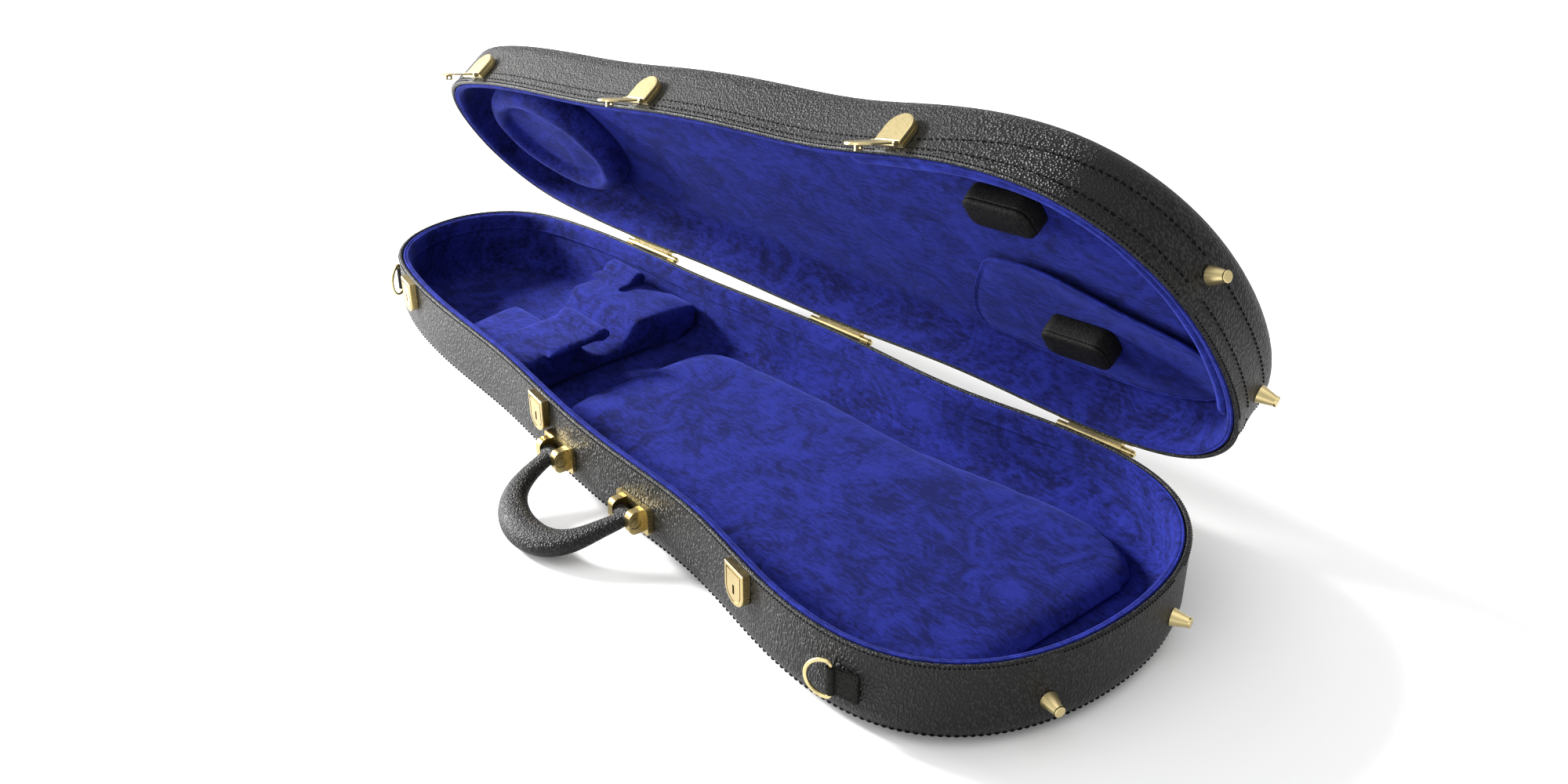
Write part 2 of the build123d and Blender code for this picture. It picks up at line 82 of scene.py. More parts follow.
# ---------------------------------------------------------------- outline of the case
def closed_spline(knots, count):
    """Points spaced evenly along the smooth closed curve through the knots."""
    k = np.array(knots, float)
    n = len(k)
    h = np.hypot(*(np.roll(k, -1, 0) - k).T)
    system = np.zeros((n, n))
    right = np.zeros((n, 2))
    for i in range(n):
        before, after = h[i - 1], h[i]
        system[i, i - 1] += before
        system[i, i] += 2 * (before + after)
        system[i, (i + 1) % n] += after
        right[i] = 6 * ((k[(i + 1) % n] - k[i]) / after - (k[i] - k[i - 1]) / before)
    bend = np.linalg.solve(system, right)
    fine = []
    for i in range(n):
        j = (i + 1) % n
        t = np.linspace(0, h[i], 60, endpoint=False)[:, None]
        a, b = (h[i] - t), t
        fine.append(bend[i] * a ** 3 / (6 * h[i]) + bend[j] * b ** 3 / (6 * h[i])
                    + (k[i] / h[i] - bend[i] * h[i] / 6) * a + (k[j] / h[i] - bend[j] * h[i] / 6) * b)
    fine = np.concatenate(fine)
    return even(fine, count)


def even(points, count):
    """Resample a closed polyline at equal steps from its first point."""
    loop = np.vstack([points, points[:1]])
    run = np.concatenate([[0], np.cumsum(np.hypot(*np.diff(loop, axis=0).T))])
    at = np.linspace(0, run[-1], count, endpoint=False)
    return np.stack([np.interp(at, run, loop[:, i]) for i in (0, 1)], 1)


def outward(points):
    """Unit normals of a closed outline that point away from its inside."""
    along = np.roll(points, -1, 0) - np.roll(points, 1, 0)
    normal = np.stack([along[:, 1], -along[:, 0]], 1)
    normal /= np.hypot(*normal.T)[:, None]
    middle = points.mean(0)
    if ((points - middle) * normal).sum() < 0:
        normal = -normal
    return normal


CASE = closed_spline(FLANK + [(x, -y) for x, y in FLANK[-2:0:-1]], 360)
CASE_OUT = outward(CASE)
CASE_SPINE = np.stack([-20 + CASE[:, 0] * 0.74, 0 * CASE[:, 0]], 1)


def case_point(x, side):
    """Point of the outline nearest to x on the hinge flank (side 1) or the latch flank (side -1)."""
    flank = CASE[:, 1] * side >= 0
    return CASE[np.argmin(np.where(flank, abs(CASE[:, 0] - x), 1e9))]


def under_fitting(x, y):
    """Whether a hinge, a latch or a foot covers the wall here."""
    if any(np.hypot(*(case_point(FOOT_X, side) - (x, y))) < FOOT_REACH for side in (-1, 1)):
        return True
    if y > 0:
        return any(abs(x - at) < HINGE_REACH for at in HINGE_X.values())
    return any(abs(x - at) < LATCH_REACH for at in LATCH_X.values())


def front_wall(x, step, out):
    """Point on the front wall that lies step mm towards the narrow end from x, and its outward direction."""
    spacing = np.hypot(*(CASE[1] - CASE[0]))
    at = np.argmin(np.where(CASE[:, 1] < 0, abs(CASE[:, 0] - x), 1e9)) + step / spacing
    low, share = int(math.floor(at)), at - math.floor(at)
    a, b = low % len(CASE), (low + 1) % len(CASE)
    normal = CASE_OUT[a] * (1 - share) + CASE_OUT[b] * share
    return CASE[a] * (1 - share) + CASE[b] * share + normal * out, normal


# ---------------------------------------------------------------- mesh helpers
def ease(x, low, high):
    """Smooth step from 0 at low to 1 at high."""
    t = min(max((x - low) / (high - low), 0), 1)
    return t * t * (3 - 2 * t)


def new_object(name, vertices, faces, smooth=True):
    """A mesh object in the scene, from vertices in metres."""
    mesh = bpy.data.meshes.new(name)
    mesh.from_pydata([tuple(v) for v in vertices], [], faces)
    mesh.validate()
    mesh.polygons.foreach_set("use_smooth", [smooth] * len(mesh.polygons))
    obj = bpy.data.objects.new(name, mesh)
    scene.collection.objects.link(obj)
    return obj


def loft(name, rings):
    """Closed skin through rings of equal count, in mm; a first or last ring on the spine closes on itself."""
    count = len(rings[0])
    vertices = np.concatenate(rings) * MM
    faces = []
    for r in range(len(rings) - 1):
        a, b = r * count, (r + 1) * count
        for i in range(count):
            j = (i + 1) % count
            faces.append((a + i, a + j, b + j, b + i))
    obj = new_object(name, vertices, faces)
    weld(obj)
    return obj


def weld(obj, distance=0.00002):
    """Merge coincident points and turn every face outwards."""
    bm = bmesh.new()
    bm.from_mesh(obj.data)
    bmesh.ops.remove_doubles(bm, verts=bm.verts, dist=distance)
    bmesh.ops.dissolve_degenerate(bm, edges=bm.edges, dist=distance / 10)
    bmesh.ops.recalc_face_normals(bm, faces=bm.faces)
    bm.to_mesh(obj.data)
    bm.free()


def ring(outline, out, spine, inset, z, pull=0.0):
    """The outline pulled in by inset at height z, and then towards its spine by a share."""
    flat = (outline - out * inset) * (1 - pull) + spine * pull
    return np.column_stack([flat, np.full(len(flat), z)])


def profiled(name, outline, spine, profile):
    """Skin whose section is a list of (inset, z, pull) from one pole to the other."""
    out = outward(outline)
    return loft(name, [ring(outline, out, spine, *entry) for entry in profile])


def soften(obj, size, amount, only=None):
    """Low soft bumps: each point moves along its normal by noise of that size, in mm."""
    mesh = obj.data
    normals = [v.normal.copy() for v in mesh.vertices]
    for v, n in zip(mesh.vertices, normals):
        if only is None or only(v.co):
            v.co += n * (noise.noise(v.co / (size * MM)) * amount * MM)
    mesh.update()


def tube(name, points, radius, sides=8):
    """Round cord along a level closed loop, in mm."""
    p = np.array(points, float)
    n = len(p)
    along = np.roll(p, -1, 0) - np.roll(p, 1, 0)
    along /= np.linalg.norm(along, axis=1)[:, None]
    side = np.cross(along, np.array([0.0, 0.0, 1.0]))
    side /= np.linalg.norm(side, axis=1)[:, None]
    over = np.cross(side, along)
    vertices, faces = [], []
    for i in range(n):
        for k in range(sides):
            a = 2 * math.pi * k / sides
            vertices.append((p[i] + side[i] * math.cos(a) * radius + over[i] * math.sin(a) * radius) * MM)
    for i in range(n):
        for k in range(sides):
            a, b = i * sides, ((i + 1) % n) * sides
            faces.append((a + k, a + (k + 1) % sides, b + (k + 1) % sides, b + k))
    obj = new_object(name, vertices, faces)
    weld(obj)
    return obj


def stitches(name, path, normals, pitch=4.6, length=3.2, thick=0.42, closed=True, proud=0.15, skip=None):
    """A row of sewn stitches: short rounded dashes half sunk along a path, in mm, left out where skip says."""
    sides, stations = 6, (-1, -0.55, 0, 0.55, 1)
    end_sink, end_taper = 0.35, 0.45
    p, nrm = np.array(path, float), np.array(normals, float)
    loop = np.vstack([p, p[:1]]) if closed else p
    turn = np.vstack([nrm, nrm[:1]]) if closed else nrm
    run = np.concatenate([[0], np.cumsum(np.linalg.norm(np.diff(loop, axis=0), axis=1))])
    count = max(1, int(run[-1] / pitch))
    vertices, faces = [], []
    for s in range(count):
        middle = (s + 0.5) * run[-1] / count
        if skip and skip(np.interp(middle, run, loop[:, 0]), np.interp(middle, run, loop[:, 1])):
            continue
        ribs = []
        for e in stations:
            at = middle + e * length / 2
            at = at % run[-1] if closed else min(max(at, 0), run[-1])
            c = np.array([np.interp(at, run, loop[:, i]) for i in range(3)])
            m = np.array([np.interp(at, run, turn[:, i]) for i in range(3)])
            m /= np.linalg.norm(m)
            ribs.append((c + m * (proud - end_sink * e * e), m, thick * (end_taper if abs(e) == 1 else 1.0)))
        axis = ribs[-1][0] - ribs[0][0]
        axis /= max(np.linalg.norm(axis), 1e-9)
        base = len(vertices)
        for c, m, r in ribs:
            side = np.cross(axis, m)
            side /= max(np.linalg.norm(side), 1e-9)
            for k in range(sides):
                a = math.pi * k / 3
                vertices.append((c + side * math.cos(a) * r + m * math.sin(a) * r) * MM)
        for e in range(len(ribs) - 1):
            for k in range(sides):
                a, b = base + e * sides, base + (e + 1) * sides
                faces.append((a + k, a + (k + 1) % sides, b + (k + 1) % sides, b + k))
        last = base + (len(ribs) - 1) * sides
        faces.append(tuple(base + k for k in reversed(range(sides))))
        faces.append(tuple(last + k for k in range(sides)))
    return new_object(name, vertices, faces)


def open_lid(obj):
    """Swing a piece drawn with the lid shut to its resting angle."""
    obj.data.transform(OPENING)
    obj.data.update()


def apply(obj):
    """Turn the modifiers into the mesh itself."""
    graph = bpy.context.evaluated_depsgraph_get()
    graph.update()
    mesh = bpy.data.meshes.new_from_object(obj.evaluated_get(graph), depsgraph=graph)
    obj.modifiers.clear()
    old = obj.data
    obj.data = mesh
    bpy.data.meshes.remove(old)


def puff(obj, voxel, cap, rounds=4, pressure=4.0, frames=20):
    """Swell a closed soft shape by a short cloth simulation, with no point moving more than cap mm."""
    remesh = obj.modifiers.new("remesh", "REMESH")
    remesh.mode, remesh.voxel_size = "VOXEL", voxel * MM
    apply(obj)
    start = np.array([v.co for v in obj.data.vertices])
    cloth = obj.modifiers.new("cloth", "CLOTH")
    cloth.settings.use_pressure = True
    cloth.settings.uniform_pressure_force = pressure
    cloth.settings.effector_weights.gravity = 0.0
    cloth.settings.quality = 5
    cloth.point_cache.frame_start, cloth.point_cache.frame_end = 1, frames
    for step in range(1, frames + 1):
        scene.frame_set(step)
    apply(obj)
    scene.frame_set(1)
    moved = np.array([v.co for v in obj.data.vertices]) - start
    far = np.linalg.norm(moved, axis=1)
    scale = np.minimum(1.0, cap * MM / np.maximum(far, 1e-9))
    co = start + moved * scale[:, None]
    obj.data.vertices.foreach_set("co", co.ravel())
    obj.data.update()
    smooth = obj.modifiers.new("smooth", "SMOOTH")
    smooth.factor, smooth.iterations = 0.5, rounds
    subdivide = obj.modifiers.new("subdivide", "SUBSURF")
    subdivide.levels = subdivide.render_levels = 1
    apply(obj)
    obj.data.polygons.foreach_set("use_smooth", [True] * len(obj.data.polygons))


def copy_node(name, node):
    """A new object with the CAD node's shape."""
    mesh = frame["nodes"][node].data.copy()
    mesh.materials.clear()
    obj = bpy.data.objects.new(name, mesh)
    scene.collection.objects.link(obj)
    weld(obj)
    return obj


# ---------------------------------------------------------------- materials
def material(name, **values):
    """A new material and its node tree, with plain values set on the shader's own sockets."""
    mat = bpy.data.materials.new(name)
    mat.use_nodes = True
    shader = mat.node_tree.nodes["Principled BSDF"]
    for key, value in values.items():
        shader.inputs[key.replace("_", " ")].default_value = value
    return mat, mat.node_tree, shader


def node(tree, kind, **settings):
    """A new shader node, with each setting put on its socket of that name or else on the node itself."""
    made = tree.nodes.new(kind)
    for key, value in settings.items():
        if key in made.inputs:
            made.inputs[key].default_value = value
        else:
            setattr(made, key, value)
    return made


def wire(tree, source, target):
    tree.links.new(source, target)


def place(tree, scale):
    """Object coordinates stretched by scale."""
    coords = node(tree, "ShaderNodeTexCoord")
    mapping = node(tree, "ShaderNodeMapping")
    mapping.inputs["Scale"].default_value = scale
    wire(tree, coords.outputs["Object"], mapping.inputs["Vector"])
    return mapping.outputs["Vector"]


def ramp(tree, source, stops):
    """Colour ramp from (position, colour) stops."""
    made = node(tree, "ShaderNodeValToRGB")
    elements = made.color_ramp.elements
    while len(elements) < len(stops):
        elements.new(0.5)
    for element, (position, colour) in zip(elements, stops):
        element.position = position
        element.color = (*colour, 1)
    wire(tree, source, made.inputs["Fac"])
    return made.outputs["Color"]


def bump(tree, height, strength, distance, under=None):
    """Normals raised by a height, on top of another bump where one is given."""
    made = node(tree, "ShaderNodeBump", Strength=strength, Distance=distance)
    wire(tree, height, made.inputs["Height"])
    if under is not None:
        wire(tree, under, made.inputs["Normal"])
    return made.outputs["Normal"]


def grained_leather(name, crease_shade, light, cell, rough, depth, gloss=0.34, stretch=0.62):
    """Pebbled leather: distorted upright cells with creases between them, painted shade in the creases (darker
    colour, less gloss), lighter crowns.
    """
    mat, tree, shader = material(name, Roughness=rough)
    at = place(tree, (1, 1, stretch))
    warp = node(tree, "ShaderNodeTexNoise", Scale=0.4 / (cell * MM), Detail=2.0)
    wire(tree, at, warp.inputs["Vector"])
    shift = node(tree, "ShaderNodeVectorMath", operation="MULTIPLY_ADD")
    wire(tree, warp.outputs["Color"], shift.inputs[0])
    shift.inputs[1].default_value = (cell * MM * 1.1,) * 3
    wire(tree, at, shift.inputs[2])
    cells = node(tree, "ShaderNodeTexVoronoi", Scale=1.0 / (cell * MM), feature="SMOOTH_F1")
    cells.inputs["Smoothness"].default_value = 0.3
    wire(tree, shift.outputs[0], cells.inputs["Vector"])
    pebble = ramp(tree, cells.outputs["Distance"], [(0.12, (1, 1, 1)), (0.60, (0, 0, 0))])
    # gloss drops in the creases: painted shade standing in for their self-shadowing
    sheen = node(tree, "ShaderNodeMapRange")
    sheen.inputs["To Min"].default_value = gloss * 0.62
    sheen.inputs["To Max"].default_value = gloss * 1.2
    wire(tree, pebble, sheen.inputs["Value"])
    wire(tree, sheen.outputs["Result"], shader.inputs["Specular IOR Level"])
    fine = node(tree, "ShaderNodeTexNoise", Scale=1.0 / (0.45 * MM), Detail=3.0)
    wire(tree, at, fine.inputs["Vector"])
    large = node(tree, "ShaderNodeTexNoise", Scale=14.0, Detail=3.0)
    wire(tree, at, large.inputs["Vector"])
    blend = node(tree, "ShaderNodeMix", data_type="RGBA", blend_type="MULTIPLY")
    blend.inputs["Factor"].default_value = 1.0
    # creases darker than the crowns: painted shade in the creases, times a random large-scale tone
    wire(tree, ramp(tree, cells.outputs["Distance"], [(0.1, light), (0.62, crease_shade)]), blend.inputs["A"])
    wire(tree, ramp(tree, large.outputs["Fac"], [(0.3, (0.75,) * 3), (0.7, (1.15,) * 3)]), blend.inputs["B"])
    wire(tree, blend.outputs["Result"], shader.inputs["Base Color"])
    shine = node(tree, "ShaderNodeMapRange")
    shine.inputs["To Min"].default_value = rough - 0.08
    shine.inputs["To Max"].default_value = rough + 0.14
    wire(tree, fine.outputs["Fac"], shine.inputs["Value"])
    wire(tree, shine.outputs["Result"], shader.inputs["Roughness"])
    first = bump(tree, fine.outputs["Fac"], 0.2, 0.0002)
    wire(tree, bump(tree, pebble, 1.0, depth * MM, first), shader.inputs["Normal"])
    return mat


def plush(name, deep, bright, nap=1.0):
    """Short-pile velvet: brushed patches of nap over a fine fibre bump, with sheen."""
    mat, tree, shader = material(name, Roughness=0.92)
    shader.inputs["Specular IOR Level"].default_value = 0.08
    shader.inputs["Sheen Weight"].default_value = 0.31
    shader.inputs["Sheen Roughness"].default_value = 0.45
    shader.inputs["Sheen Tint"].default_value = (0.12, 0.16, 0.80, 1)
    at = place(tree, (1, 1, 1))
    patch = node(tree, "ShaderNodeTexNoise", Scale=26.0, Detail=7.0, Distortion=1.6)
    patch.inputs["Roughness"].default_value = 0.72
    wire(tree, at, patch.inputs["Vector"])
    streak = node(tree, "ShaderNodeTexNoise", Scale=1.0, Detail=5.0, Distortion=0.7)
    wire(tree, place(tree, (130, 420, 420)), streak.inputs["Vector"])
    fibre = node(tree, "ShaderNodeTexNoise", Scale=1.0 / (0.7 * MM), Detail=2.0)
    wire(tree, at, fibre.inputs["Vector"])
    both = node(tree, "ShaderNodeMath", operation="MULTIPLY_ADD")
    wire(tree, streak.outputs["Fac"], both.inputs[0])
    both.inputs[1].default_value = 0.62
    wire(tree, patch.outputs["Fac"], both.inputs[2])
    wire(tree, ramp(tree, both.outputs[0], [(0.68, deep), (0.94, bright)]), shader.inputs["Base Color"])
    first = bump(tree, fibre.outputs["Fac"], 0.5 * nap, 0.0005)
    wire(tree, bump(tree, patch.outputs["Fac"], 0.35 * nap, 0.0025, first), shader.inputs["Normal"])
    return mat


def brass(name, colour, rough):
    """Polished brass: hairline scratches one way, soft dull patches, a little tarnish."""
    mat, tree, shader = material(name, Metallic=1.0, Roughness=rough)
    at = place(tree, (1, 1, 1))
    stain = node(tree, "ShaderNodeTexNoise", Scale=35.0, Detail=3.0)
    wire(tree, at, stain.inputs["Vector"])
    lines = node(tree, "ShaderNodeTexNoise", Scale=1.0, Detail=2.0)
    wire(tree, place(tree, (250, 250, 3200)), lines.inputs["Vector"])
    dull = tuple(c * 0.86 for c in colour)
    wire(tree, ramp(tree, stain.outputs["Fac"], [(0.38, dull), (0.62, colour)]), shader.inputs["Base Color"])
    shine = node(tree, "ShaderNodeMapRange")
    shine.inputs["To Min"].default_value = rough - 0.05
    shine.inputs["To Max"].default_value = rough + 0.10
    wire(tree, lines.outputs["Fac"], shine.inputs["Value"])
    wire(tree, shine.outputs["Result"], shader.inputs["Roughness"])
    wire(tree, bump(tree, lines.outputs["Fac"], 0.05, 0.00005), shader.inputs["Normal"])
    return mat


def thread(name, colour):
    """Waxed thread with a tight twist."""
    mat, tree, shader = material(name, Roughness=0.85)
    shader.inputs["Specular IOR Level"].default_value = 0.08
    twist = node(tree, "ShaderNodeTexWave", Scale=1.0 / (1.1 * MM), Distortion=2.0)
    wire(tree, place(tree, (1, 1, 1)), twist.inputs["Vector"])
    wire(tree, ramp(tree, twist.outputs["Fac"], [(0.2, tuple(c * 0.5 for c in colour)), (0.8, colour)]),
         shader.inputs["Base Color"])
    wire(tree, bump(tree, twist.outputs["Fac"], 0.4, 0.0002), shader.inputs["Normal"])
    return mat


LEATHERETTE = grained_leather("leatherette", (0.0015, 0.0015, 0.0015), (0.010, 0.010, 0.010),
                              cell=1.5, rough=0.43, depth=1.5, gloss=0.37, stretch=0.5)
GRIP = grained_leather("grip_leather", (0.003, 0.003, 0.003), (0.012, 0.012, 0.012),
                       cell=1.4, rough=0.52, depth=0.7)
LEATHER = grained_leather("leather", (0.004, 0.004, 0.003), (0.008, 0.008, 0.007),
                          cell=1.1, rough=0.62, depth=0.15, gloss=0.16)
WELT_LEATHER = grained_leather("welt_leather", (0.005, 0.005, 0.005), (0.020, 0.020, 0.020),
                               cell=1.1, rough=0.5, depth=0.5)
PLUSH = plush("plush", (0.003, 0.0042, 0.042), (0.0115, 0.0165, 0.165))
PLUSH_EDGE = plush("plush_edge", (0.006, 0.009, 0.090), (0.016, 0.024, 0.215), nap=0.6)
BRASS = brass("brass", (0.66, 0.54, 0.27), 0.27)
# a darker copy of the brass: painted shade for the fittings low on the base front
BRASS_SHADED = brass("brass_shaded", (0.45, 0.35, 0.15), 0.26)
THREAD = thread("thread", (0.004, 0.004, 0.004))


def finish_piece(obj, mat, body, replaces=()):
    """Give a piece its material and body, and hide the CAD nodes it stands for."""
    obj.data.materials.clear()
    obj.data.materials.append(mat)
    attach(obj, body)
    if replaces:
        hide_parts(*replaces)


def dress(names, mat):
    """Give CAD nodes their material."""
    for name in names:
        mesh = frame["nodes"][name].data
        mesh.materials.clear()
        mesh.materials.append(mat)


def starting(*beginnings):
    """Names of the CAD nodes that begin in one of these ways."""
    return [name for name in frame["nodes"] if name.startswith(beginnings)]


dress(["base_shell", "lid_shell"], LEATHERETTE)
dress(["handle"], GRIP)
dress(["base_welt", "lid_welt"], WELT_LEATHER)
dress(starting("dring_tab_"), LEATHER)
dress(starting("hinge_", "latch_plate_", "hasp_", "foot_", "dring_narrow", "dring_wide"), BRASS)
# receivers, handle brackets and pins take the darker brass, painted shade
dress(starting("receiver_", "handle_bracket_", "bracket_pin_"), BRASS_SHADED)


# ---------------------------------------------------------------- linings
def case_skin(name, profile):
    """Skin that follows the case's outline, from (inset, z, pull) entries."""
    return loft(name, [ring(CASE, CASE_OUT, CASE_SPINE, *entry) for entry in profile])


bottom = [(22, BED + 0.1, 0)] + [(22, BED, pull) for pull in (0.12, 0.3, 0.5, 0.7, 0.85, 1.0)]
base_lining = case_skin("base_lining_plush", [
    (20, 4.6, 1.0), (20, 4.6, 0.5), (20, 4.6, 0), (12, 6.2, 0), (6, 12, 0), (4.5, 19, 0), (4.5, 40, 0),
    (4.5, 56.5, 0), (4.7, 58.3, 0), (5.6, 59.0, 0), (6.8, 59.1, 0), (8.0, 58.6, 0), (8.9, 57.4, 0),
    (9.3, 55.5, 0), (9.5, 52.5, 0), (9.4, 49, 0), (9.5, 47.6, 0), (10.0, 47.0, 0), (9.9, 46.6, 0),
    (9.0, 46.0, 0), (8.6, 44, 0), (8.5, 38, 0), (8.5, 32, 0), (8.7, 26, 0), (9.3, 21, 0), (10.6, 16.6, 0),
    (12.8, 13.4, 0), (16, 11.3, 0), *bottom])
soften(base_lining, 34, 0.9, lambda p: p.z < 0.046)
finish_piece(base_lining, PLUSH, "base", ["base_lining"])

lid_lining = case_skin("lid_lining_plush", [
    (22, CEILING + 2.2, 1.0), (22, CEILING + 2.2, 0.4), (20, CEILING + 2, 0), (8, CEILING - 3, 0),
    (4.5, CEILING - 12, 0), (4.5, RIM + 6, 0), (4.6, RIM + 2.6, 0), (5.2, RIM + 1.4, 0), (6.6, RIM + 1.2, 0),
    (8.0, RIM + 1.8, 0), (8.9, RIM + 3.2, 0), (9.3, RIM + 5.5, 0), (9.2, RIM + 9, 0), (9.0, RIM + 14, 0),
    (9.2, RIM + 20, 0), (10.0, RIM + 25, 0), (12.2, RIM + 29.4, 0), (15.6, RIM + 32.6, 0),
    (20, RIM + 34.4, 0), *[(24, CEILING, pull) for pull in (0, 0.1, 0.22, 0.36, 0.52, 0.68, 0.84, 1.0)]])
soften(lid_lining, 38, 0.9, lambda p: p.z > (RIM + 8) * MM)
open_lid(lid_lining)
finish_piece(lid_lining, PLUSH, "lid", ["lid_lining"])

for body, z in (("base", RIM - 1.3), ("lid", RIM + 1.7)):
    piping = tube(f"{body}_piping", ring(CASE, CASE_OUT, CASE_SPINE, 4.9, z), 0.95)
    if body == "lid":
        open_lid(piping)
    finish_piece(piping, PLUSH_EDGE, body)

# ---------------------------------------------------------------- cushion and neck rest
# each is swelled from its CAD solid: piece, node, voxel, cap, rounds of smoothing, fill
for name, source, voxel, cap, rounds, fill in (("body_cushion", "body_bed", 5.0, 3.0, 6, 0.5),
                                               ("neck_rest", "neck_cradle", 4.0, 2.5, 9, 0.6),
                                               ("neck_flap_front", "neck_strap_front", 2.5, 1.5, 4, 0.4),
                                               ("neck_flap_back", "neck_strap_back", 2.5, 1.5, 4, 0.4)):
    soft = copy_node(name, source)
    puff(soft, voxel, cap, rounds)
    finish_piece(soft, PLUSH, "base", [source])

# ---------------------------------------------------------------- lid pads and panel
# the scroll pad is an egg lying along the lid's narrow end, with a shallow cup in its top
EGG_X, EGG_Y = -283, 2.5
turns = np.linspace(0, 2 * math.pi, 96, endpoint=False)
egg = np.stack([EGG_X - 75 * np.cos(turns), EGG_Y + 58.5 * np.sin(turns) * (1 - 0.06 * np.cos(turns))], 1)
egg_spine = np.stack([EGG_X + (egg[:, 0] - EGG_X) * 0.35, EGG_Y + 0 * turns], 1)
pad = profiled("scroll_pad", egg, egg_spine, [
    (0, CEILING - 0.3, 1.0), (0, CEILING - 0.3, 0.3), (1.4, CEILING - 0.3, 0), (0.0, CEILING - 2.5, 0),
    (-0.9, CEILING - 7, 0), (-0.7, CEILING - 12, 0), (0.6, CEILING - 16.5, 0), (2.9, CEILING - 19.8, 0),
    (6.0, CEILING - 22.0, 0), (9.4, CEILING - 22.9, 0), (12.6, CEILING - 22.5, 0), (15.0, CEILING - 20.8, 0),
    (16.6, CEILING - 18.2, 0), (17.4, CEILING - 15.6, 0), (18.4, CEILING - 14.2, 0),
    (20.5, CEILING - 13.6, 0), (24, CEILING - 13.4, 0), (24, CEILING - 13.0, 0.25),
    (24, CEILING - 12.6, 0.5), (24, CEILING - 12.4, 0.75), (24, CEILING - 12.3, 1.0)])
soften(pad, 22, 0.8)
open_lid(pad)
finish_piece(pad, PLUSH, "lid", ["lid_scroll_pad"])

# the pocket panel lies on the ceiling, and its front edge stands a little free of it
PANEL = [(169, 24), (188, 3), (219, -4), (290, 20), (326, 33), (345, 50), (345, 75), (310, 115), (236, 125),
         (140, 95)]
PANEL_MARGIN = 24
PANEL_POINTS = 140
PANEL_TOP = CEILING - 0.3
LIFT, LIFT_REACH = 4.2, 20
panel_outline = closed_spline(PANEL, PANEL_POINTS)
for point in panel_outline:
    point[1] = min(point[1], case_point(point[0], 1)[1] - PANEL_MARGIN)
panel_outline = even(panel_outline, PANEL_POINTS)
panel_spine = np.stack([250 + (panel_outline[:, 0] - 250) * 0.5, np.full(PANEL_POINTS, 60.0)], 1)
FREE_EDGE = np.array([p for p in panel_outline if p[1] < 20 + 0.30 * (p[0] - 169)])


def lifted(obj):
    """Stand the panel off the ceiling along its free front edge."""
    for v in obj.data.vertices:
        x, y = v.co.x / MM, v.co.y / MM
        away = float(np.hypot(FREE_EDGE[:, 0] - x, FREE_EDGE[:, 1] - y).min())
        v.co.z -= LIFT * MM * math.exp(-(away / LIFT_REACH) ** 2) * ease(x, 165, 205)


panel = profiled("pocket_panel", panel_outline, panel_spine, [
    (inset, PANEL_TOP - drop, pull) for inset, drop, pull in (
        (0.9, 0.9, 1.0), (0.9, 0.9, 0.6), (0.9, 0.9, 0.3), (0.9, 0.9, 0.1), (0.9, 0.9, 0), (0.2, 1.2, 0),
        (0, 1.8, 0), (0.4, 2.6, 0), (1.3, 3.0, 0), (2.2, 2.9, 0), (2.8, 2.6, 0), (3.6, 2.7, 0), (5, 2.9, 0),
        (5, 3.0, 0.1), (5, 3.1, 0.2), (5, 3.1, 0.35), (5, 3.1, 0.5), (5, 3.1, 0.8), (5, 3.1, 1.0))])
lifted(panel)
open_lid(panel)
finish_piece(panel, PLUSH, "lid", ["lid_panel"])
panel_cord = tube("pocket_piping",
                  ring(panel_outline, outward(panel_outline), panel_spine, 0.5, PANEL_TOP - 2.4), 0.85)
lifted(panel_cord)
open_lid(panel_cord)
finish_piece(panel_cord, PLUSH_EDGE, "lid")

# a stiff strip of lining runs inside the front of the lid, from the widest latch round the wide end
strip = [i for i in range(len(CASE)) if CASE[i, 0] > 150 and CASE[i, 1] < 60]
first = next((k + 1 for k in range(len(strip) - 1) if strip[k + 1] - strip[k] > 1), 0)
strip = strip[first:] + strip[:first]
LEDGE_INSET, LEDGE_Z = 8.8, RIM + 6
section = [(LEDGE_INSET, RIM + 6.5), (9.4, RIM + 3.8), (11.0, RIM + 2.3), (13.0, RIM + 1.9), (15.0, RIM + 2.6),
           (15.9, RIM + 4.4), (15.2, RIM + 7), (12, RIM + 9), (LEDGE_INSET, RIM + 9)]
TAPER = (0.55, 0.9)
corners, faces = [], []
for k, i in enumerate(strip):
    near_end = min(k, len(strip) - 1 - k)
    shrink = TAPER[near_end] if near_end < len(TAPER) else 1.0
    for inset, z in section:
        flat = CASE[i] - CASE_OUT[i] * (LEDGE_INSET + (inset - LEDGE_INSET) * shrink)
        corners.append((flat[0] * MM, flat[1] * MM, (LEDGE_Z + (z - LEDGE_Z) * shrink) * MM))
size = len(section)
for k in range(len(strip) - 1):
    for e in range(size):
        a, b = k * size + e, k * size + (e + 1) % size
        faces.append((a, b, b + size, a + size))
faces += [tuple(range(size)), tuple((len(strip) - 1) * size + e for e in reversed(range(size)))]
ledge = new_object("lid_ledge", corners, faces)
weld(ledge)
soften(ledge, 25, 0.5)
open_lid(ledge)
finish_piece(ledge, PLUSH_EDGE, "lid")


def rounded(width, height, corner, count=96):
    """Rounded rectangle centred on the origin."""
    points = []
    for cx, cy, start in ((1, 1, 0), (-1, 1, 90), (-1, -1, 180), (1, -1, 270)):
        for step in range(13):
            a = math.radians(start + 90 * step / 12)
            points.append((cx * (width / 2 - corner) + corner * math.cos(a),
                           cy * (height / 2 - corner) + corner * math.sin(a)))
    return even(np.array(points), count)


